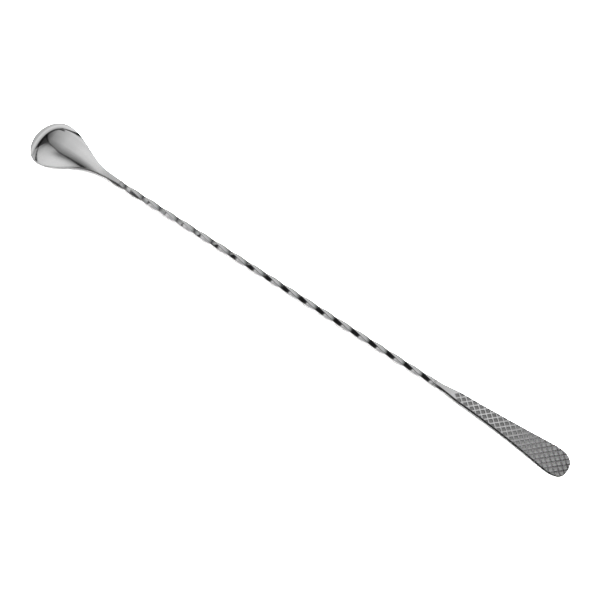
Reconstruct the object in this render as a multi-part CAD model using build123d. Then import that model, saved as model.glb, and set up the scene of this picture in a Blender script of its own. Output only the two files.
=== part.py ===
"""Bar spoon in stainless steel: a stamped teardrop bowl, a bar twisted from square stock
and a coined paddle, joined end to end by two butt welds that are ground flush.

The spoon lies face down. X runs along it from the bowl (-X) to the paddle (+X), Y is its
width and +Z is up. The origin is at the middle of the footprint, on the surface it lies on.
Lengths are in millimetres, angles in degrees. A "station" is a distance from the bowl's tip.
"""
import math
import os

from build123d import *

# ---- driving dimensions -------------------------------------------------------------------
overall_length = 335.0
shaft_height = 3.9              # axis of the bar above the surface the spoon lies on

bowl_length = 50.0              # tip to where its sides have drawn in to the neck
bowl_half_width = 14.9
nose_length = 10.5              # tip to the widest station
bowl_depth = 8.6                # crown above the rim's outer edge, at the widest station
bowl_wall = 1.2                 # sheet thickness of the bowl
hollow_fade_start = 24.0        # stations between which the sheet thickens into the neck
hollow_fade_end = 38.0
rim_edge = 0.8                  # height of the rim's outer edge
width_power = 3.0               # how sharply the bowl's sides draw in towards the neck
depth_power = 1.12              # how its depth follows its width
rest_length = 1.5               # the rim is ground level with the surface up to this station
rim_rise_length = 30.0          # station by which the rim has risen to the neck
neck_arch = 0.9                 # how much higher the middle of the slope to the neck arches
neck_arch_start = 18.0          # stations between which it arches
neck_arch_end = 44.0
neck_half_width = 1.8
neck_thickness = 1.2            # its top is level with the top of the bar
neck_swell_start = 42.0         # station where it starts to swell to the bar's own section

bar_side = 2.8                  # square stock
bar_corner = 0.35               # radius on the corners of the stock
quarter_turns = 18              # quarter turns along the twisted bar, right-handed
twist_start = 53.1              # station
twist_end = 250.9               # station
weld_length = 0.6

paddle_nose = 14.5              # length of the paddle's rounded end
paddle_nose_power = 2.5         # 2 would be an ellipse, more is blunter
paddle_thickness = 1.6
paddle_taper_length = 10.0      # bar stock down to the paddle's thickness
shoulder_start = 252.0          # stations between which the bar spreads into the blade
shoulder_end = 268.0
shoulder_spread = 1.1           # half width gained over the shoulder
blade_spread = 7.2              # half width the blade would gain by its end if that were square
blade_power = 1.68              # how the blade's sides open out beyond the shoulder

lattice_start = 262.9           # station of the first diamond's corner
lattice_diagonal = 4.0          # corner to corner of one cell
lattice_ridge = 0.8             # width of the raised ridge between two pits
lattice_depth = 0.25
lattice_margin = 0.3            # solid edge left between a pit and the paddle's outline
lattice_rows = 18               # cells along the paddle
lattice_reach = 2               # whole cells to each side of the middle row

# ---- sizes that follow --------------------------------------------------------------------
tip_x = -overall_length / 2
bar_bottom = shaft_height - bar_side / 2
bar_top = shaft_height + bar_side / 2
bowl_part_end = twist_start - weld_length       # station where the bowl's own metal stops
paddle_part_start = twist_end + weld_length     # station where the paddle's own metal starts
reach = 60.0                                    # taller and wider than any section


def smooth(fraction):
    """Ease from 0 to 1 with level ends."""
    f = min(max(fraction, 0.0), 1.0)
    return f * f * (3 - 2 * f)


def steps(first, last, count):
    """Evenly spaced stations, both ends included."""
    return [first + (last - first) * i / count for i in range(count + 1)]


# ---- bowl ---------------------------------------------------------------------------------
def bowl_fullness(station):
    """How far the bowl has opened out, from 0 at the neck to 1 at the widest station."""
    if station < nose_length:
        return 1 - ((nose_length - station) / nose_length) ** 2
    along = min((station - nose_length) / (bowl_length - nose_length), 1.0)
    return max(math.cos(math.pi * along / 2), 0.0) ** width_power


def neck_swell(station):
    """From 0 on the thin neck to 1 where it has the bar's own section."""
    return smooth((station - neck_swell_start) / (bowl_part_end - neck_swell_start))


def bowl_half_width_at(station):
    """Half width of the bowl and its neck."""
    if station < nose_length:
        return bowl_half_width * math.sqrt(max(bowl_fullness(station), 0.0))
    neck = neck_half_width + (bar_side / 2 - neck_half_width) * neck_swell(station)
    return neck + (bowl_half_width - neck_half_width) * bowl_fullness(station)


def rim_rise(station):
    """How far the rim has risen from the surface on its way to the neck."""
    along = (station - rest_length) / (rim_rise_length - rest_length)
    arched = (station - neck_arch_start) / (neck_arch_end - neck_arch_start)
    arch = neck_arch * math.sin(math.pi * min(max(arched, 0.0), 1.0)) ** 2
    return (bar_top - neck_thickness) * smooth(along) + arch


def underside_height(station):
    """Underside of the rim and the neck, which drops to the underside of the bar at its end."""
    return rim_rise(station) - (bar_side - neck_thickness) * neck_swell(station)


def crown_and_curve(station):
    """Height of the crown over the rim's edge, and how fast the back falls away from it."""
    if station < nose_length:
        return bowl_depth * bowl_fullness(station), bowl_depth / bowl_half_width ** 2
    crown = bowl_depth * bowl_fullness(station) ** depth_power
    return crown, crown / bowl_half_width_at(station) ** 2


def back_height(station, y, wall=0.0):
    """Height of the bowl's back, less a wall measured square to it."""
    crown, curve = crown_and_curve(station)
    thicken = smooth((station - nose_length) / (bowl_length - nose_length))
    edge = rim_edge + (neck_thickness - rim_edge) * thicken
    before, _ = crown_and_curve(station - 0.5)
    after, _ = crown_and_curve(station + 0.5)
    steep = math.hypot(2 * curve * y, after - before)
    return rim_rise(station) + edge + crown - curve * y ** 2 - wall * math.hypot(1, steep)


def inside_height(station, y):
    """The inside of the bowl, which fades out where the sheet thickens into the neck."""
    fade = smooth((station - hollow_fade_start) / (hollow_fade_end - hollow_fade_start))
    return back_height(station, y, bowl_wall + bar_side * fade)


def solid_under(height):
    """Solid below a surface z = height(station, y) that is wider than the bowl."""
    half_span = bowl_half_width + 1
    grid = []
    for station in steps(-1.0, bowl_part_end, 72):
        row = []
        for y in steps(-half_span, half_span, 30):
            row.append(Vector(tip_x + station, y, height(station, y)))
        grid.append(row)
    surface = Face.make_surface_from_array_of_points(grid, tol=0.005)
    return extrude(surface, amount=reach, dir=(0, 0, -1))


def mirrored(points):
    """The same outline on the other side of the spoon."""
    return [(x, -y) for x, y in points]


def build_bowl():
    """Shell stamped from sheet and open below, with the neck that meets the bar."""
    nose = [nose_length * (1 - math.cos(math.radians(turn))) for turn in range(0, 90, 15)]
    body = steps(nose_length, neck_swell_start, 14)[:-1]
    neck = steps(neck_swell_start, bowl_part_end, 4)
    side = [(tip_x + s, -bowl_half_width_at(s)) for s in nose + body + neck]
    near = Spline(*side, tangents=((0, -1), (1, 0)))
    far = Spline(*mirrored(side), tangents=((0, 1), (1, 0)))
    weld_face = Line(near @ 1, far @ 1)
    blank = extrude(make_face([near, weld_face, far]), amount=reach, both=True)

    stations = steps(rest_length, neck_swell_start, 18)[:-1] + neck
    underside = Spline(
        *[(tip_x + s, 0, underside_height(s)) for s in stations], tangents=((1, 0, 0), (1, 0, 0))
    )
    beyond = tip_x + twist_start + 1
    frame = Polyline(
        underside @ 1,
        (beyond, 0, bar_bottom),
        (beyond, 0, reach),
        (tip_x - 2, 0, reach),
        (tip_x - 2, 0, 0),
        underside @ 0,
    )
    above_rim = extrude(make_face([underside, frame]), amount=reach, both=True)
    return blank & solid_under(back_height) & above_rim - solid_under(inside_height)


# ---- twisted bar and welds ----------------------------------------------------------------
def bar_section(station):
    """Section of the square stock, facing along the spoon."""
    plane = Plane(origin=(tip_x + station, 0, shaft_height), x_dir=(0, 1, 0), z_dir=(1, 0, 0))
    return plane * RectangleRounded(bar_side, bar_side, bar_corner)


def build_twisted_shank():
    """Square bar twisted right-handed between its two welds."""
    along = Vector(twist_end - twist_start, 0, 0)
    return Solid.extrude_linear_with_rotation(
        bar_section(twist_start).face(),
        (tip_x + twist_start, 0, shaft_height),
        along,
        90.0 * quarter_turns,
    )


def build_weld(station):
    """Weld metal between two butted ends, ground flush with the bar."""
    return extrude(bar_section(station), amount=weld_length, dir=(1, 0, 0))


# ---- paddle -------------------------------------------------------------------------------
def paddle_half_width_at(station):
    """Half width of the paddle, from the bar to its rounded end."""
    shoulder = smooth((station - shoulder_start) / (shoulder_end - shoulder_start))
    along = max((station - shoulder_start) / (overall_length - shoulder_start), 0.0)
    width = bar_side / 2 + shoulder_spread * shoulder + blade_spread * along ** blade_power
    past = max(station - overall_length + paddle_nose, 0.0) / paddle_nose
    return width * max(1 - past ** paddle_nose_power, 0.0) ** (1 / paddle_nose_power)


def paddle_outline():
    """Plan of the paddle: a blade that widens to a rounded end."""
    nose_start = overall_length - paddle_nose
    stations = steps(paddle_part_start, nose_start, 16)
    stations += [nose_start + paddle_nose * past for past in (0.3, 0.55, 0.75, 0.88, 0.95, 0.99)]
    side = [(tip_x + s, -paddle_half_width_at(s)) for s in stations]
    side.append((tip_x + overall_length, 0))
    near = Spline(*side, tangents=((1, 0), (0, 1)))
    far = Spline(*mirrored(side), tangents=((1, 0), (0, -1)))
    return make_face([Line(near @ 0, far @ 0), near, far])


def paddle_top(station):
    """Top of the paddle, which runs on level from the bar and then curves down."""
    bend_start = paddle_part_start + paddle_taper_length
    along = max(station - bend_start, 0.0) / (overall_length - bend_start)
    return bar_top - (bar_top - paddle_thickness) * along ** 2


def paddle_underside(station):
    """Underside of the paddle, which rests on the surface at its end."""
    taper = smooth((station - paddle_part_start) / paddle_taper_length)
    return paddle_top(station) - bar_side - (paddle_thickness - bar_side) * taper


def paddle_slab(inset):
    """Everything between the paddle's two faces, each moved in by the inset."""
    stations = steps(paddle_part_start, overall_length, 28)
    top = Spline(*[(tip_x + s, 0, paddle_top(s) - inset) for s in stations])
    low = Spline(*[(tip_x + s, 0, paddle_underside(s) + inset) for s in stations])
    profile = make_face([top, low, Line(top @ 0, low @ 0), Line(top @ 1, low @ 1)])
    return extrude(profile, amount=reach, both=True)


def lattice_pits():
    """Diamond prisms where the lattice is sunk, with solid ridges left between them."""
    half_pit = (lattice_diagonal - lattice_ridge * math.sqrt(2)) / 2
    half_cell = lattice_diagonal / 2
    pits = []
    for row in range(2 * lattice_rows):
        station = lattice_start + half_cell * (row + 1)
        room = min(paddle_half_width_at(station + shift) for shift in (-half_pit / 2, half_pit / 2))
        room -= lattice_margin
        if station + half_pit > overall_length - lattice_margin:
            continue
        for column in range(-2 * lattice_reach - 1, 2 * lattice_reach + 2):
            y = half_cell * column
            if (row + column) % 2 or abs(y) + half_pit > room:
                continue
            pits.append(Pos(tip_x + station, y) * Rot(0, 0, 45) * Rectangle(
                half_pit * math.sqrt(2), half_pit * math.sqrt(2)
            ))
    return extrude(Sketch() + pits, amount=reach, both=True)


def build_paddle():
    """Coined blade with a lattice on both faces, curving down to rest at its end."""
    blade = extrude(paddle_outline(), amount=reach, both=True) & paddle_slab(0.0)
    return blade - (lattice_pits() - paddle_slab(lattice_depth))


def build_all():
    """Every piece of the spoon by its name."""
    return {
        "bowl": build_bowl(),
        "bowl_weld": build_weld(bowl_part_end),
        "twisted_shank": build_twisted_shank(),
        "paddle_weld": build_weld(twist_end),
        "paddle": build_paddle(),
    }


os.makedirs("parts", exist_ok=True)
for name, solid in build_all().items():
    export_step(solid, os.path.join("parts", name + ".step"))
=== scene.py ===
"""Looks for the stainless bar spoon: bowl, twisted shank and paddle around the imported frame.

Lengths are in metres in the frame's own axes: X runs from the bowl to the paddle, Y across,
Z up. A "station" is a distance from the bowl's tip.
"""
import math

import bpy
import numpy as np
from mathutils import Matrix, Vector


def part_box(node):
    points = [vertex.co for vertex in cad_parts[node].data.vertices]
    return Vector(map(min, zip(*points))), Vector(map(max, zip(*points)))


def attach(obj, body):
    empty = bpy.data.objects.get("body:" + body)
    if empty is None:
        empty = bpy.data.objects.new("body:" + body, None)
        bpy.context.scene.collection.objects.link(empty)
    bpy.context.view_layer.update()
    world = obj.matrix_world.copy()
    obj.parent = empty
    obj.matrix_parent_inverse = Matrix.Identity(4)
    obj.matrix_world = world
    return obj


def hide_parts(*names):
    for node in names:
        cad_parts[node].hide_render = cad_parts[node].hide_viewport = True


MM = 0.001

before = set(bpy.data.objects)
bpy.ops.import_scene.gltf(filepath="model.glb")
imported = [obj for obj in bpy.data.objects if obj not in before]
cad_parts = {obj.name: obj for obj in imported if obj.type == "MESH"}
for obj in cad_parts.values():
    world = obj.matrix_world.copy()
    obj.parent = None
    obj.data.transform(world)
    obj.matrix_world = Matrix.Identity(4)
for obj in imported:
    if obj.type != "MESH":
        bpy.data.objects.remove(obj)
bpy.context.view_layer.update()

# ---- sizes taken from the frame -------------------------------------------------------------
bowl_low, bowl_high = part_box("bowl")
shank_low, shank_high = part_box("twisted_shank")
paddle_low, paddle_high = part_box("paddle")
weld_low, weld_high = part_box("bowl_weld")

TIP_X = bowl_low[0]
BAR_SIDE = weld_high[2] - weld_low[2]
BAR_TOP = weld_high[2]
BAR_BOTTOM = weld_low[2]
AXIS_Z = (BAR_TOP + BAR_BOTTOM) / 2
OVERALL = paddle_high[0] - TIP_X
BOWL_END = bowl_high[0] - TIP_X
TWIST_START = shank_low[0] - TIP_X
TWIST_END = shank_high[0] - TIP_X
PADDLE_START = paddle_low[0] - TIP_X

# ---- the rest of the spoon's driving dimensions ---------------------------------------------
BOWL_LENGTH = 50.0 * MM
BOWL_HALF_WIDTH = 14.9 * MM
NOSE_LENGTH = 10.5 * MM
BOWL_DEPTH = 8.6 * MM
BOWL_WALL = 1.2 * MM
HOLLOW_FADE = (24.0 * MM, 38.0 * MM)
RIM_EDGE = 0.8 * MM
RIM_ROUND = 0.22 * MM
WIDTH_POWER = 3.0
DEPTH_POWER = 1.12
REST_LENGTH = 1.5 * MM
RIM_RISE_LENGTH = 30.0 * MM
NECK_ARCH = 0.9 * MM
NECK_ARCHED = (18.0 * MM, 44.0 * MM)
NECK_HALF_WIDTH = 1.8 * MM
NECK_THICKNESS = 1.2 * MM
NECK_SWELL_START = 42.0 * MM

BAR_CORNER = 0.35 * MM
QUARTER_TURNS = 18

PADDLE_NOSE = 14.5 * MM
PADDLE_NOSE_POWER = 2.5
PADDLE_THICKNESS = 1.6 * MM
PADDLE_TAPER = 10.0 * MM
PADDLE_ROUND = 0.45 * MM
SHOULDER = (252.0 * MM, 268.0 * MM)
SHOULDER_SPREAD = 1.1 * MM
BLADE_SPREAD = 7.2 * MM
BLADE_POWER = 1.68

LATTICE_START = 262.9 * MM
LATTICE_DIAGONAL = 4.0 * MM
LATTICE_RIDGE = 0.62 * MM
LATTICE_WALL = 0.30 * MM
LATTICE_DEPTH = 0.26 * MM
LATTICE_DISH = 0.06 * MM


def smooth(fraction):
    """Ease from 0 to 1 with level ends."""
    f = np.clip(fraction, 0.0, 1.0)
    return f * f * (3 - 2 * f)


def add_piece(name, verts, faces, flat_faces=()):
    """A smooth-shaded mesh object; the faces numbered in flat_faces stay flat."""
    mesh = bpy.data.meshes.new(name)
    mesh.from_pydata([tuple(v) for v in verts], [], faces)
    mesh.update()
    soft = np.ones(len(mesh.polygons), dtype=bool)
    soft[list(flat_faces)] = False
    mesh.polygons.foreach_set("use_smooth", soft)
    piece = bpy.data.objects.new(name, mesh)
    bpy.context.scene.collection.objects.link(piece)
    return piece


def skin_loops(name, loops, close_start=None, close_end=None):
    """Quads between closed loops of equal length, with a flat cap or a point at each end."""
    count = len(loops[0])
    verts = [p for loop in loops for p in loop]
    faces = []
    for i in range(len(loops) - 1):
        for j in range(count):
            k = (j + 1) % count
            a, b = i * count, (i + 1) * count
            faces.append((a + j, b + j, b + k, a + k))
    flat = []
    if close_start is not None:
        verts.append(close_start)
        tip = len(verts) - 1
        faces += [(tip, j, (j + 1) % count) for j in range(count)]
    else:
        flat.append(len(faces))
        faces.append(tuple(range(count)))
    last = (len(loops) - 1) * count
    if close_end is not None:
        verts.append(close_end)
        tip = len(verts) - 1
        faces += [(tip, last + (j + 1) % count, last + j) for j in range(count)]
    else:
        flat.append(len(faces))
        faces.append(tuple(last + j for j in reversed(range(count))))
    return add_piece(name, verts, faces, flat)


# ---- bowl -----------------------------------------------------------------------------------
def fullness(s):
    """How far the bowl has opened out, from 0 at the neck to 1 at the widest station."""
    if s < NOSE_LENGTH:
        return 1 - ((NOSE_LENGTH - s) / NOSE_LENGTH) ** 2
    along = min((s - NOSE_LENGTH) / (BOWL_LENGTH - NOSE_LENGTH), 1.0)
    return max(math.cos(math.pi * along / 2), 0.0) ** WIDTH_POWER


def neck_swell(s):
    """From 0 on the thin neck to 1 where it has the bar's own section."""
    return smooth((s - NECK_SWELL_START) / (BOWL_END - NECK_SWELL_START))


def bowl_half_width(s):
    """Half width of the bowl and its neck."""
    if s < NOSE_LENGTH:
        return BOWL_HALF_WIDTH * math.sqrt(max(fullness(s), 0.0))
    neck = NECK_HALF_WIDTH + (BAR_SIDE / 2 - NECK_HALF_WIDTH) * neck_swell(s)
    return neck + (BOWL_HALF_WIDTH - NECK_HALF_WIDTH) * fullness(s)


def rim_base(s):
    """Underside of the rim, from the surface at the tip up to the thin neck."""
    along = (s - REST_LENGTH) / (RIM_RISE_LENGTH - REST_LENGTH)
    arched = np.clip((s - NECK_ARCHED[0]) / (NECK_ARCHED[1] - NECK_ARCHED[0]), 0.0, 1.0)
    arch = NECK_ARCH * np.sin(np.pi * arched) ** 2
    return (BAR_TOP - NECK_THICKNESS) * smooth(along) + arch


def underside(s):
    """Underside of the rim and of the whole neck."""
    return rim_base(s) - (BAR_SIDE - NECK_THICKNESS) * neck_swell(s)


def crown_and_curve(s):
    """Height of the crown over the rim's edge, and how fast the back falls away from it."""
    if s < NOSE_LENGTH:
        return BOWL_DEPTH * fullness(s), BOWL_DEPTH / BOWL_HALF_WIDTH ** 2
    crown = BOWL_DEPTH * fullness(s) ** DEPTH_POWER
    return crown, crown / bowl_half_width(s) ** 2


def back(s, y, wall=0.0):
    """Height of the bowl's back, less a wall measured square to it."""
    crown, curve = crown_and_curve(s)
    thicken = smooth((s - NOSE_LENGTH) / (BOWL_LENGTH - NOSE_LENGTH))
    edge = RIM_EDGE + (NECK_THICKNESS - RIM_EDGE) * thicken
    slope_x = (crown_and_curve(s + 0.5 * MM)[0] - crown_and_curve(s - 0.5 * MM)[0]) / MM
    steep = np.hypot(2 * curve * y, slope_x)
    return rim_base(s) + edge + crown - curve * y ** 2 - wall * np.hypot(1, steep)


def inside(s, y):
    """The inside of the bowl, which fades out where the sheet thickens into the neck."""
    fade = smooth((s - HOLLOW_FADE[0]) / (HOLLOW_FADE[1] - HOLLOW_FADE[0]))
    return back(s, y, BOWL_WALL + BAR_SIDE * fade)


def lip_half_width(s):
    """Half width of the hollow where it meets the level of the rim's underside."""
    low, high = 0.0, bowl_half_width(s)
    if inside(s, 0.0) <= underside(s):
        return 0.0
    for _ in range(30):
        mid = (low + high) / 2
        if inside(s, mid) > underside(s):
            low = mid
        else:
            high = mid
    return low


def bowl_loop(s, across=96, within=64):
    """Closed section of the bowl at a station: back, far edge, hollow, near edge."""
    w = bowl_half_width(s)
    base = underside(s)
    rounding = min(RIM_ROUND, 0.3 * w)
    x = TIP_X + s
    shoulder = w - rounding
    loop = []
    for v in np.linspace(-1, 1, across):
        y = shoulder * math.sin(v * math.pi / 2)
        loop.append((x, y, float(back(s, y))))
    top_edge = max(float(back(s, w)), base + 0.5 * RIM_EDGE)
    over = float(back(s, shoulder))
    edge = []
    for share in (0.35, 0.7, 0.92):
        y = shoulder + rounding * math.sin(share * math.pi / 2)
        drop = 1 - math.cos(share * math.pi / 2)
        edge.append((y, over + (top_edge - rounding - over) * drop))
    edge.append((w, top_edge - rounding))
    edge.append((w, base + rounding))
    for share in (0.3, 0.6):
        turn = share * math.pi / 2
        edge.append((w - rounding * (1 - math.cos(turn)), base + rounding * (1 - math.sin(turn))))
    edge.append((w - rounding, base))
    loop += [(x, y, z) for y, z in edge]
    lip = max(lip_half_width(s), 0.35 * shoulder)
    lip = min(lip, shoulder * 0.97)
    for v in np.linspace(1, -1, within):
        y = lip * math.sin(v * math.pi / 2)
        loop.append((x, y, max(float(inside(s, y)), base)))
    loop += [(x, -y, z) for y, z in reversed(edge)]
    return loop


def build_bowl():
    """The stamped bowl and its neck, replacing the plain CAD shell."""
    nose = [NOSE_LENGTH * (1 - math.cos(a)) for a in np.linspace(0.06, math.pi / 2, 46)]
    body = np.linspace(NOSE_LENGTH, BOWL_END, 150)[1:]
    loops = [bowl_loop(s) for s in nose + list(body)]
    tip = (TIP_X, 0.0, float(underside(0)) + RIM_EDGE / 2)
    return skin_loops("bowl_shell", loops, close_start=tip)


# ---- twisted shank --------------------------------------------------------------------------
def bar_profile(along_side=9, around_corner=5):
    """Square with rounded corners, as (y, z) about the bar's axis."""
    half = BAR_SIDE / 2
    inner = half - BAR_CORNER
    points = []
    for quarter in range(4):
        turn = quarter * math.pi / 2
        cos_t, sin_t = math.cos(turn), math.sin(turn)
        side = [(half, v) for v in np.linspace(-inner, inner, along_side)[:-1]]
        arc = []
        for a in np.linspace(0, math.pi / 2, around_corner + 1)[:-1]:
            arc.append((inner + BAR_CORNER * math.cos(a), inner + BAR_CORNER * math.sin(a)))
        for y, z in side + arc:
            points.append((y * cos_t - z * sin_t, y * sin_t + z * cos_t))
    return points


def build_shank():
    """Square bar twisted right-handed at a constant pitch."""
    profile = bar_profile()
    loops = []
    for share in np.linspace(0, 1, 760):
        turn = share * QUARTER_TURNS * math.pi / 2
        cos_t, sin_t = math.cos(turn), math.sin(turn)
        x = TIP_X + TWIST_START + share * (TWIST_END - TWIST_START)
        loops.append(
            [(x, y * cos_t - z * sin_t, AXIS_Z + y * sin_t + z * cos_t) for y, z in profile]
        )
    return skin_loops("shank_bar", loops)


# ---- paddle ---------------------------------------------------------------------------------
PADDLE_NOSE_START = OVERALL - PADDLE_NOSE


def paddle_half_width(s):
    """Half width of the paddle, from the bar to its rounded end."""
    shoulder = smooth((s - SHOULDER[0]) / (SHOULDER[1] - SHOULDER[0]))
    along = max((s - SHOULDER[0]) / (OVERALL - SHOULDER[0]), 0.0)
    width = BAR_SIDE / 2 + SHOULDER_SPREAD * shoulder + BLADE_SPREAD * along ** BLADE_POWER
    past = max(s - PADDLE_NOSE_START, 0.0) / PADDLE_NOSE
    return width * max(1 - past ** PADDLE_NOSE_POWER, 0.0) ** (1 / PADDLE_NOSE_POWER)


def paddle_top(s):
    """Top of the paddle, which runs on level from the bar and then curves down."""
    bend_start = PADDLE_START + PADDLE_TAPER
    along = max(s - bend_start, 0.0) / (OVERALL - bend_start)
    return BAR_TOP - (BAR_TOP - PADDLE_THICKNESS) * along ** 2


def paddle_half_thickness(s):
    """Half the paddle's thickness, drawn down from the bar."""
    taper = smooth((s - PADDLE_START) / PADDLE_TAPER)
    return (BAR_SIDE + (PADDLE_THICKNESS - BAR_SIDE) * taper) / 2


def lattice_sink(s, y):
    """How far the coined lattice is sunk below the blade's face."""
    spacing = LATTICE_DIAGONAL / math.sqrt(2)
    along = s - LATTICE_START
    far = 1.0
    for diagonal in ((along + y) / math.sqrt(2), (along - y) / math.sqrt(2)):
        off_ridge = np.abs((diagonal / spacing + 0.5) % 1.0 - 0.5) * spacing
        far = np.minimum(far, off_ridge)
    wall = smooth((far - LATTICE_RIDGE / 2) / LATTICE_WALL)
    started = (along - np.abs(y)) > 0
    dish = LATTICE_DISH * np.clip(far / (spacing / 2), 0, 1)
    return np.where(started, wall * (LATTICE_DEPTH + dish), 0.0)


def build_paddle():
    """The coined blade, with its lattice as real relief on both faces."""
    across = 110
    stations = list(np.linspace(PADDLE_START, LATTICE_START, 40)[:-1])
    stations += list(np.linspace(LATTICE_START, PADDLE_NOSE_START, 400))
    stations += [
        PADDLE_NOSE_START + PADDLE_NOSE * math.sin(a) for a in np.linspace(0, 1.55, 150)[1:]
    ]
    loops = []
    for s in stations:
        w = paddle_half_width(s)
        half = paddle_half_thickness(s)
        middle = paddle_top(s) - half
        rounding = min(PADDLE_ROUND, 0.4 * w)
        flat = w - rounding
        x = TIP_X + s
        v = np.linspace(-1, 1, across)
        y = flat * v
        sunk = lattice_sink(s, y)
        top = [(x, float(a), float(middle + half - b)) for a, b in zip(y, sunk)]
        low = [(x, float(a), float(middle - half + b)) for a, b in zip(y, sunk)]
        side = []
        for turn in np.linspace(0, math.pi / 2, 5)[1:]:
            side.append((flat + rounding * math.sin(turn), half - rounding * (1 - math.cos(turn))))
        far_side = [(x, a, middle + z) for a, z in side]
        far_side += [(x, a, middle - z) for a, z in reversed(side)]
        near_side = [(x, -a, middle - z) for a, z in side]
        near_side += [(x, -a, middle + z) for a, z in reversed(side)]
        loops.append(top + far_side + low[::-1] + near_side)
    end = (TIP_X + OVERALL, 0.0, PADDLE_THICKNESS / 2)
    blade = skin_loops("paddle_blade", loops, close_end=end)
    pit = blade.data.attributes.new("pit", "FLOAT", "POINT")
    places = [np.array(loop) for loop in loops] + [np.array([end])]
    x, y, _ = np.concatenate(places).T
    depth = lattice_sink(x - TIP_X, y) / LATTICE_DEPTH
    pit.data.foreach_set("value", np.clip(depth, 0.0, 1.0))
    return blade


# ---- materials ------------------------------------------------------------------------------
PIT_PAINTED_LIGHT_SPAN = (0.120, 0.160)           # stretch of the paddle over which the pits are painted lighter, a painted reflection
PIT_PAINTED_LIGHTENING = 2.3


def new_material(name):
    material = bpy.data.materials.new(name)
    material.use_nodes = True
    tree = material.node_tree
    return material, tree, tree.nodes["Principled BSDF"]


def math_node(tree, operation, a, b=None, c=None):
    """One Math node; its inputs are sockets or numbers."""
    node = tree.nodes.new("ShaderNodeMath")
    node.operation = operation
    for socket, value in zip(node.inputs, (a, b, c)):
        if value is None:
            continue
        if isinstance(value, (int, float)):
            socket.default_value = value
        else:
            tree.links.new(value, socket)
    return node.outputs[0]


def ramp(tree, value, low, high, at_low, at_high, soft=True):
    """From at_low to at_high as the value goes from low to high."""
    node = tree.nodes.new("ShaderNodeMapRange")
    node.interpolation_type = "SMOOTHSTEP" if soft else "LINEAR"
    keys = ("From Min", "From Max", "To Min", "To Max")
    for key, number in zip(keys, (low, high, at_low, at_high)):
        node.inputs[key].default_value = number
    tree.links.new(value, node.inputs["Value"])
    return node.outputs["Result"]


def product(tree, *factors):
    """All the factors multiplied together."""
    result = factors[0]
    for factor in factors[1:]:
        result = math_node(tree, "MULTIPLY", result, factor)
    return result


def blend(tree, share, at_zero, at_one):
    """A number between two others."""
    node = tree.nodes.new("ShaderNodeMix")
    tree.links.new(share, node.inputs["Factor"])
    for socket, value in ((node.inputs["A"], at_zero), (node.inputs["B"], at_one)):
        if isinstance(value, (int, float)):
            socket.default_value = value
        else:
            tree.links.new(value, socket)
    return node.outputs["Result"]


def place_of(tree, output):
    """The x, y and z of a texture coordinate."""
    coords = tree.nodes.new("ShaderNodeTexCoord").outputs[output]
    split = tree.nodes.new("ShaderNodeSeparateXYZ")
    tree.links.new(coords, split.inputs[0])
    return split.outputs


def stretched_noise(tree, coords, scale, detail=2.0, roughness=0.5):
    """Noise in the object's own metres, stretched by a different scale along each axis."""
    mapping = tree.nodes.new("ShaderNodeMapping")
    mapping.inputs["Scale"].default_value = scale
    noise = tree.nodes.new("ShaderNodeTexNoise")
    noise.inputs["Scale"].default_value = 1.0
    noise.inputs["Detail"].default_value = detail
    noise.inputs["Roughness"].default_value = roughness
    tree.links.new(coords, mapping.inputs["Vector"])
    tree.links.new(mapping.outputs["Vector"], noise.inputs["Vector"])
    return noise.outputs["Fac"]


def remap(tree, value, low, high):
    """Spread a 0 to 1 value between two numbers."""
    node = tree.nodes.new("ShaderNodeMapRange")
    node.inputs["From Min"].default_value = 0.3
    node.inputs["From Max"].default_value = 0.7
    node.inputs["To Min"].default_value = low
    node.inputs["To Max"].default_value = high
    tree.links.new(value, node.inputs["Value"])
    return node.outputs["Result"]


def steel(name, tone, rough, grain_scale, grain_depth, pit_tone=None, pit_rough=None):
    """Tumbled stainless steel with fine grain, soft blotches and slight wear. Where the mesh
    marks a pit, the steel is rougher and darker, and its colour is painted lighter towards
    the paddle's end as a painted reflection."""
    material, tree, shader = new_material(name)
    coords = tree.nodes.new("ShaderNodeTexCoord").outputs["Object"]
    blotch = stretched_noise(tree, coords, (260, 260, 260), 4.0, 0.6)
    grain = stretched_noise(tree, coords, grain_scale, 3.0, 0.6)
    shade = tree.nodes.new("ShaderNodeMix")
    shade.data_type = "RGBA"
    shade.inputs["A"].default_value = (tone * 0.93, tone * 0.93, tone * 0.935, 1)
    shade.inputs["B"].default_value = (tone * 1.05, tone * 1.05, tone * 1.05, 1)
    tree.links.new(remap(tree, grain, 0.0, 1.0), shade.inputs["Factor"])
    color = shade.outputs["Result"]
    finish = remap(tree, blotch, rough * 0.85, rough * 1.25)
    if pit_tone is not None:
        mark = tree.nodes.new("ShaderNodeAttribute")
        mark.attribute_name = "pit"
        sunk = tree.nodes.new("ShaderNodeMix")
        sunk.data_type = "RGBA"
        along = place_of(tree, "Object")[0]
        # painted reflection: the pits' colour grows lighter along the paddle
        lighter = ramp(tree, along, *PIT_PAINTED_LIGHT_SPAN, pit_tone, PIT_PAINTED_LIGHTENING * pit_tone)
        tree.links.new(lighter, sunk.inputs["B"])
        tree.links.new(mark.outputs["Fac"], sunk.inputs["Factor"])
        tree.links.new(color, sunk.inputs["A"])
        color = sunk.outputs["Result"]
        coarse = tree.nodes.new("ShaderNodeMix")
        coarse.inputs["B"].default_value = pit_rough
        tree.links.new(mark.outputs["Fac"], coarse.inputs["Factor"])
        tree.links.new(finish, coarse.inputs["A"])
        finish = coarse.outputs["Result"]
    tree.links.new(color, shader.inputs["Base Color"])
    shader.inputs["Metallic"].default_value = 1.0
    tree.links.new(finish, shader.inputs["Roughness"])
    bump = tree.nodes.new("ShaderNodeBump")
    bump.inputs["Strength"].default_value = 0.35
    bump.inputs["Distance"].default_value = grain_depth
    tree.links.new(grain, bump.inputs["Height"])
    tree.links.new(bump.outputs["Normal"], shader.inputs["Normal"])
    return material


def dress(piece, material):
    piece.data.materials.clear()
    piece.data.materials.append(material)


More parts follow.
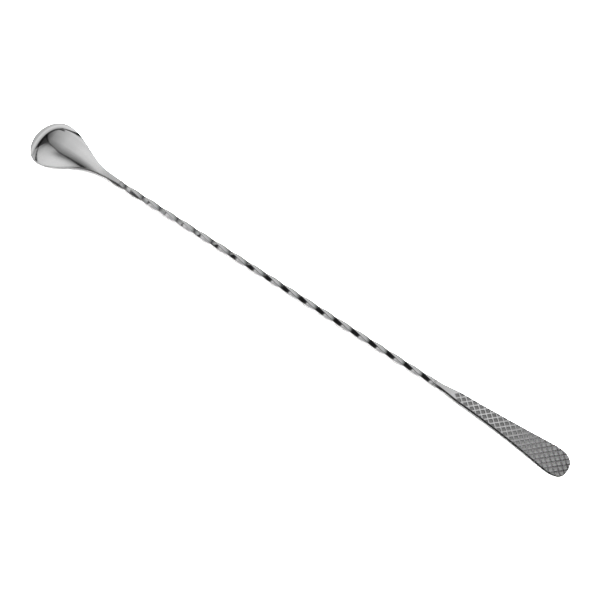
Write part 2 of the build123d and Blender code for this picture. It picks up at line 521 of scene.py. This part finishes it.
# ---- pieces ---------------------------------------------------------------------------------
bowl_steel = steel("bowl_steel", 0.64, 0.09, (1600, 3200, 3200), 0.000022)
shank_steel = steel("shank_steel", 0.56, 0.12, (1500, 5200, 5200), 0.00001)
# the paddle's pits: darker near the neck, painted lighter towards the end as a painted reflection
paddle_steel = steel("paddle_steel", 0.62, 0.16, (2600, 3200, 3200), 0.00001, 0.34, 0.45)
weld_steel = steel("weld_steel", 0.58, 0.14, (1500, 5200, 5200), 0.00001)

for build, node, slot, material in (
    (build_bowl, "bowl", "bowl_steel", bowl_steel),
    (build_shank, "twisted_shank", "shank_steel", shank_steel),
    (build_paddle, "paddle", "paddle_steel", paddle_steel),
):
    piece = build()
    dress(piece, material)
    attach(piece, "root")
    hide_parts(node)

for node in ("bowl_weld", "paddle_weld"):
    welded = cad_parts[node]
    for entry in welded.material_slots:
        entry.material = weld_steel

# ---- studio ---------------------------------------------------------------------------------
FLOOR_SIZE = 3.0
FLOOR_WHITE = 0.92
SEAM_SLOPE = (0.45, 1.0, 0.55)          # normal of the plane the overhead seam lies in

# A glowing sheet under the spoon that only its steel reflects: painted light standing in for the
# lit floor, with painted shadow beside and under the spoon.
SHEET_LIFT = 0.00005
SHEET_GLOW = 0.97
SHEET_FADES_FROM = 0.010                # distance from the spoon
SHEET_FADE_LEFT = 0.15                  # lost each time that distance grows by a factor of e
SHEET_FADE_RIGHT = 0.04
SHEET_DIMMEST = 0.25
CONTACT_REACH = 0.009                   # the shade right beside the spoon
CONTACT_GLOW = 0.62
JOINT_START = (TIP_X + 0.0207, 0.0155)  # a dark joint across the sheet, on the far side
JOINT_LEAN = 0.417
JOINT_HALF_WIDTH = 0.0006
JOINT_WIDENING = 0.070
JOINT_GLOW = 0.03
JOINT_SHADE_REACH = 0.010
JOINT_SHADE_GLOW = 0.55
NEAR_SHADES = ((0.084, 0.300, 0.04), (-0.138, -0.100, 0.12))    # start, end and brightness
BAR_SHADE_BEGINS = (0.010, 0.018)       # distances from the bar, on the near side
BAR_SHADE_FADES_IN = (-0.080, -0.030)   # places along the bar
BAR_SHADE_GLOW = 0.03

# Cards that stand on the floor, each at one distance from the spoon's axis.
CARD_FOOT = 0.0002
BOWL_CARD_Y = -0.060
BOWL_CARD_ENDS = (-0.420, -0.088)
BOWL_CARD_BELOW_SEAM = 0.005
BOWL_SEEN_FROM = (-0.147, -0.006, 0.008)
BLACK = 0.015
BLACK_CARD_Y = -0.28
BLACK_CARD_TOP = 0.42
BLACK_CARD_ENDS = (-0.030, 1.2)
BAR_CARD_Y = -0.045
BAR_CARD_TOP = 0.09                     # its left end slopes down to the floor

# A panel over the paddle, bright above its neck and dark beyond its end.
PANEL_Z = 0.3
PANEL_ENDS = (0.07, 1.2)
PANEL_SIDES = (0.05, 0.8)


def seam_distance(tree, x, y, z):
    """Signed distance of a direction from the plane of the overhead seam."""
    across = math_node(tree, "MULTIPLY", x, SEAM_SLOPE[0])
    across = math_node(tree, "ADD", across, y)
    across = math_node(tree, "MULTIPLY_ADD", z, SEAM_SLOPE[2], across)
    return math_node(tree, "DIVIDE", across, Vector(SEAM_SLOPE).length)


def add_floor():
    """A plain pale sheet under the spoon. The steel sees the glowing sheet instead, a painted
    reflection of the floor.
    """
    h = FLOOR_SIZE / 2
    floor = add_piece("floor", [(-h, -h, 0), (h, -h, 0), (h, h, 0), (-h, h, 0)], [(0, 1, 2, 3)])
    material, tree, shader = new_material("floor_white")
    shader.inputs["Base Color"].default_value = (FLOOR_WHITE, FLOOR_WHITE, FLOOR_WHITE, 1)
    shader.inputs["Roughness"].default_value = 0.9
    shader.inputs["Specular IOR Level"].default_value = 0.0
    dress(floor, material)
    floor.visible_glossy = False


def add_card(name, corners, shade):
    """A card that only the steel's reflections see, as bright as shade(tree, x, y, z)."""
    card = add_piece(name, corners, [tuple(range(len(corners)))])
    material = bpy.data.materials.new(name)
    material.use_nodes = True
    tree = material.node_tree
    tree.nodes.clear()
    output = tree.nodes.new("ShaderNodeOutputMaterial")
    glow = tree.nodes.new("ShaderNodeEmission")
    tree.links.new(glow.outputs[0], output.inputs["Surface"])
    strength = shade(tree, *place_of(tree, "Object"))
    if isinstance(strength, (int, float)):
        glow.inputs["Strength"].default_value = strength
    else:
        tree.links.new(strength, glow.inputs["Strength"])
    dress(card, material)
    for way in ("visible_camera", "visible_diffuse", "visible_shadow", "visible_transmission"):
        setattr(card, way, False)


def black(tree, x, y, z):
    """The same near-black all over a card."""
    return BLACK


def distance_from_spoon(tree, x, y):
    """Distance on the floor from the outline of the bowl and the bar."""
    middle = TIP_X + NOSE_LENGTH
    left = math_node(tree, "SUBTRACT", middle, x)
    left = math_node(tree, "MAXIMUM", left, 0.0)
    away = math_node(tree, "MULTIPLY", left, left)
    away = math_node(tree, "MULTIPLY_ADD", y, y, away)
    away = math_node(tree, "SQRT", away)
    half_width = ramp(tree, x, middle, middle + 0.03, BOWL_HALF_WIDTH, 0.003)
    return math_node(tree, "SUBTRACT", away, half_width)


def shade_near_side(tree, x, y, glow):
    """The near half of the sheet, with painted shade in stretches below the neck, the bar and the
    paddle.
    """
    for start, end, dark in NEAR_SHADES:
        shaded = ramp(tree, x, start - 0.003, start + 0.003, 0.0, 1.0)
        shaded = product(tree, shaded, ramp(tree, x, end - 0.003, end + 0.003, 1.0, 0.0))
        glow = blend(tree, shaded, glow, dark)
    beyond = ramp(tree, math_node(tree, "ABSOLUTE", y), *BAR_SHADE_BEGINS, 0.0, 1.0)
    beyond = product(tree, beyond, ramp(tree, x, *BAR_SHADE_FADES_IN, 0.0, 1.0))
    return blend(tree, beyond, glow, BAR_SHADE_GLOW)


def floor_shade(tree, x, y, z):
    """The glowing sheet under the spoon, painted light for the floor: bright beside the spoon and
    dimmer far off, with a painted shadow right against it. A dark joint runs away from the
    bowl's far side."""
    away = distance_from_spoon(tree, x, y)
    # painted shadow: the sheet is dimmer right beside the spoon
    contact = ramp(tree, away, 0.0, CONTACT_REACH, CONTACT_GLOW, 1.0)
    away = math_node(tree, "MAXIMUM", away, SHEET_FADES_FROM)
    away = math_node(tree, "DIVIDE", away, SHEET_FADES_FROM)
    away = math_node(tree, "LOGARITHM", away, math.e)
    on_left = math_node(tree, "MULTIPLY_ADD", away, -SHEET_FADE_LEFT, SHEET_GLOW)
    on_left = math_node(tree, "MAXIMUM", on_left, SHEET_DIMMEST)
    on_right = math_node(tree, "MULTIPLY_ADD", away, -SHEET_FADE_RIGHT, SHEET_GLOW)

    beside = math_node(tree, "MULTIPLY_ADD", y, JOINT_LEAN, x)
    beside = math_node(tree, "SUBTRACT", beside, JOINT_START[0] + JOINT_LEAN * JOINT_START[1])
    right_of = ramp(tree, beside, -0.0001, 0.0001, 0.0, 1.0)
    shade = ramp(tree, beside, 0.0, JOINT_SHADE_REACH, JOINT_SHADE_GLOW, 1.0)
    on_right = product(tree, on_right, shade)
    half_joint = math_node(tree, "MULTIPLY_ADD", y, JOINT_WIDENING, JOINT_HALF_WIDTH)
    off_joint = math_node(tree, "ABSOLUTE", beside)
    off_joint = math_node(tree, "DIVIDE", off_joint, half_joint)
    joint = ramp(tree, off_joint, 0.7, 1.3, JOINT_GLOW, 1.0)

    far_side = product(tree, blend(tree, right_of, on_left, on_right), joint)
    near_side = blend(tree, right_of, on_left, SHEET_GLOW)
    near_side = shade_near_side(tree, x, y, near_side)
    is_far = ramp(tree, y, -0.0005, 0.0005, 0.0, 1.0)
    return product(tree, blend(tree, is_far, near_side, far_side), contact)


def bowl_card_shade(tree, x, y, z):
    """The card on the bowl's near side: bright in the middle, with a black line low across it."""
    up = blend(
        tree,
        ramp(tree, x, -0.190, -0.140, 0.0, 1.0),
        ramp(tree, z, 0.037, 0.180, 1.0, 0.30, soft=False),
        ramp(tree, z, 0.040, 0.085, 1.0, 0.25),
    )
    left = ramp(tree, x, -0.300, -0.150, 0.45, 1.0, soft=False)
    right = ramp(tree, x, -0.140, -0.095, 1.0, 0.45)
    line = math_node(tree, "MULTIPLY_ADD", x, 0.14, 0.0105)
    line = math_node(tree, "ADD", z, line)
    line = math_node(tree, "ABSOLUTE", line)
    line = ramp(tree, line, 0.0025, 0.0055, 0.02, 1.0)
    return product(tree, up, left, right, line)


def panel_shade(tree, x, y, z):
    """The panel over the paddle: dimmer at its near end, bright, then dark beyond the end."""
    return product(
        tree, ramp(tree, x, 0.100, 0.106, 0.75, 1.0), ramp(tree, x, 0.152, 0.238, 0.95, 0.05)
    )


def bowl_card_top(x):
    """Height of the bowl card's top edge, just under the overhead seam as the bowl sees it."""
    from_x, from_y, from_z = BOWL_SEEN_FROM
    over = SEAM_SLOPE[0] * (x - from_x) + SEAM_SLOPE[1] * (BOWL_CARD_Y - from_y)
    return from_z - over / SEAM_SLOPE[2] - BOWL_CARD_BELOW_SEAM


def add_cards():
    """Cards round the spoon for its reflections."""
    h = FLOOR_SIZE / 2
    z = SHEET_LIFT
    add_card("glowing_sheet", [(-h, -h, z), (h, -h, z), (h, h, z), (-h, h, z)], floor_shade)

    foot = CARD_FOOT
    y = BOWL_CARD_Y
    left, right = BOWL_CARD_ENDS
    add_card(
        "bowl_card",
        [
            (left, y, foot),
            (right, y, foot),
            (right, y, bowl_card_top(right)),
            (left, y, bowl_card_top(left)),
        ],
        bowl_card_shade,
    )

    y, top = BLACK_CARD_Y, BLACK_CARD_TOP
    left, right = BLACK_CARD_ENDS
    add_card(
        "black_card",
        [(left, y, foot), (right, y, foot), (right, y, top), (left, y, top)],
        black,
    )

    y, top = BAR_CARD_Y, BAR_CARD_TOP
    add_card(
        "bar_card",
        [(-0.080, y, foot), (1.2, y, foot), (1.2, y, top), (0.020, y, top), (-0.040, y, 0.05)],
        black,
    )

    z = PANEL_Z
    left, right = PANEL_ENDS
    near, far = PANEL_SIDES
    add_card(
        "panel_end",
        [(left, near, z), (right, near, z), (right, far, z), (left, far, z)],
        panel_shade,
    )


def far_slope(tree, leaning):
    """The far panel's brightness, which falls away from its own foot to the seam."""
    foot = ramp(tree, leaning, -55.0, -10.0, 1.0, 0.86, soft=False)
    head = ramp(tree, leaning, -10.0, 30.0, 1.0, 0.24, soft=False)
    return product(tree, foot, head)


def add_tent():
    """A light tent as the sky: two soft panels overhead with a dark seam between them, and a
    dark gap between the panels and the floor except behind the spoon."""
    world = bpy.data.worlds.new("light_tent")
    world.use_nodes = True
    bpy.context.scene.world = world
    tree = world.node_tree
    x, y, z = place_of(tree, "Generated")
    seam = seam_distance(tree, x, y, z)
    leaning = math_node(tree, "MULTIPLY", y, -1.0)
    leaning = math_node(tree, "ARCTAN2", leaning, z)
    leaning = math_node(tree, "MULTIPLY", leaning, 180 / math.pi)
    near_panel = product(
        tree,
        ramp(tree, leaning, 28.0, 60.0, 0.15, 0.70, soft=False),
        ramp(tree, x, -0.95, -0.15, 0.30, 1.0, soft=False),
    )
    far_panel = product(
        tree,
        far_slope(tree, leaning),
        ramp(tree, x, -0.88, 0.15, 0.16, 1.0, soft=False),
        ramp(tree, x, -0.93, -0.86, 0.05, 1.0),
    )
    is_far = ramp(tree, seam, -0.01, 0.01, 0.0, 1.0)
    panel = blend(tree, is_far, near_panel, far_panel)
    gap = math_node(tree, "ABSOLUTE", seam)
    gap = ramp(tree, gap, 0.02, 0.045, 0.02, 1.0)
    horizon = ramp(tree, z, 0.16, 0.20, 0.02, 1.0)
    behind = product(
        tree, ramp(tree, y, 0.0, 0.05, 0.0, 1.0), ramp(tree, x, -0.31, -0.27, 0.0, 1.0)
    )
    horizon = math_node(tree, "MAXIMUM", horizon, behind)
    horizon = math_node(tree, "MAXIMUM", horizon, ramp(tree, z, 0.03, 0.08, 0.5, 0.0))
    tree.links.new(product(tree, panel, gap, horizon), tree.nodes["Background"].inputs["Strength"])
    tree.nodes["Background"].inputs["Color"].default_value = (1, 1, 1, 1)


def add_floor_light():
    """A broad overhead light for the floor, kept out of the steel's reflections."""
    light = bpy.data.lights.new("overhead", "AREA")
    light.shape = "DISK"
    light.size = 2.2
    light.energy = 240
    lamp = bpy.data.objects.new("overhead", light)
    lamp.location = (0, 0.1, 1.8)
    lamp.visible_glossy = False
    bpy.context.scene.collection.objects.link(lamp)


# ---- camera ---------------------------------------------------------------------------------
CAMERA_DISTANCE = 1.107
CAMERA_ASIDE = 0.071            # how far the camera stands towards the paddle
CAMERA_ELEVATION = 60.0         # above the floor, seen square to the spoon's length
CAMERA_ROLL = 32.289            # slope of the spoon across the picture
CAMERA_AIM = (0.0002, -0.0011, AXIS_Z - 0.0004)      # in the bar, near its middle
CAMERA_LENS = 125.5             # millimetres, on a 36 mm sensor


def add_camera():
    """Long lens on the near side, rolled so that the spoon lies across the picture."""
    aim = Vector(CAMERA_AIM)
    rise = math.radians(CAMERA_ELEVATION)
    back, height = CAMERA_DISTANCE * math.cos(rise), CAMERA_DISTANCE * math.sin(rise)
    offset = Vector((CAMERA_ASIDE, -back, height))
    forward = (-offset).normalized()
    along = Vector((1, 0, 0))
    along = (along - along.dot(forward) * forward).normalized()
    down = forward.cross(along)
    roll = math.radians(CAMERA_ROLL)
    right = math.cos(roll) * along - math.sin(roll) * down
    up = -(math.sin(roll) * along + math.cos(roll) * down)
    camera = bpy.data.cameras.new("camera")
    camera.lens = CAMERA_LENS
    camera.sensor_width = 36.0
    camera.clip_start = 0.01
    holder = bpy.data.objects.new("camera", camera)
    turn = Matrix((right, up, -forward)).transposed().to_4x4()
    holder.matrix_world = Matrix.Translation(aim + offset) @ turn
    bpy.context.scene.collection.objects.link(holder)
    bpy.context.scene.camera = holder


add_floor()
add_cards()
add_tent()
add_floor_light()
add_camera()
bpy.context.scene.view_settings.view_transform = "Standard"
